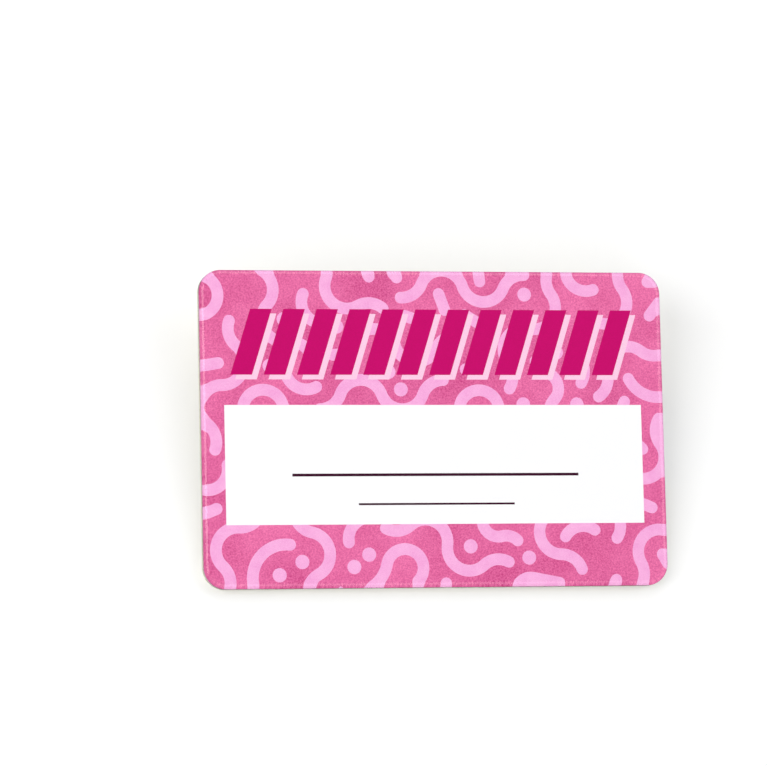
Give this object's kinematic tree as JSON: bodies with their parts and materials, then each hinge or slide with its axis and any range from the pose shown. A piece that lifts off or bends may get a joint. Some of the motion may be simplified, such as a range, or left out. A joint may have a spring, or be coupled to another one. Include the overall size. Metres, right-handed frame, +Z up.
{
  "type": "name badge",
  "caption": "Flat rounded name badge with a printed insert under a clear cover that clips on, and a hinged safety-pin bar on its back; it lies face up.",
  "frame": {"origin": "on the surface that the badge lies on, under the middle of its box", "axes": "+X along the long side, to the right as the front is read; +Y towards the badge's top edge, which the pin bar holds up; +Z up, out of the front"},
  "size_m": [0.076, 0.0504, 0.0127],
  "materials": {
    "shell": "satin moulded plastic, warm beige with a faint mottle",
    "card": "printed card, pink with pale strokes and a white panel in front, white at the back",
    "clear_cover": "clear polished plastic",
    "pad": "off-white adhesive foam",
    "bar": "satin moulded plastic, cream",
    "pin_wire": "drawn steel wire"
  },
  "bodies": {
    "badge": {"back_shell": "shell", "insert_card": "card", "front_cover": "clear_cover", "adhesive_pad": "pad", "pin_bar": "bar"},
    "pin": {"pin_arm": "pin_wire"}
  },
  "joints": [
    {"name": "pin_open", "type": "hinge", "parent": "badge", "child": "pin", "pos_m": [-0.0128, 0.0143, 0.00255], "axis": [0, 0.9838, 0.1792], "range_deg": [0, 50]}
  ]
}
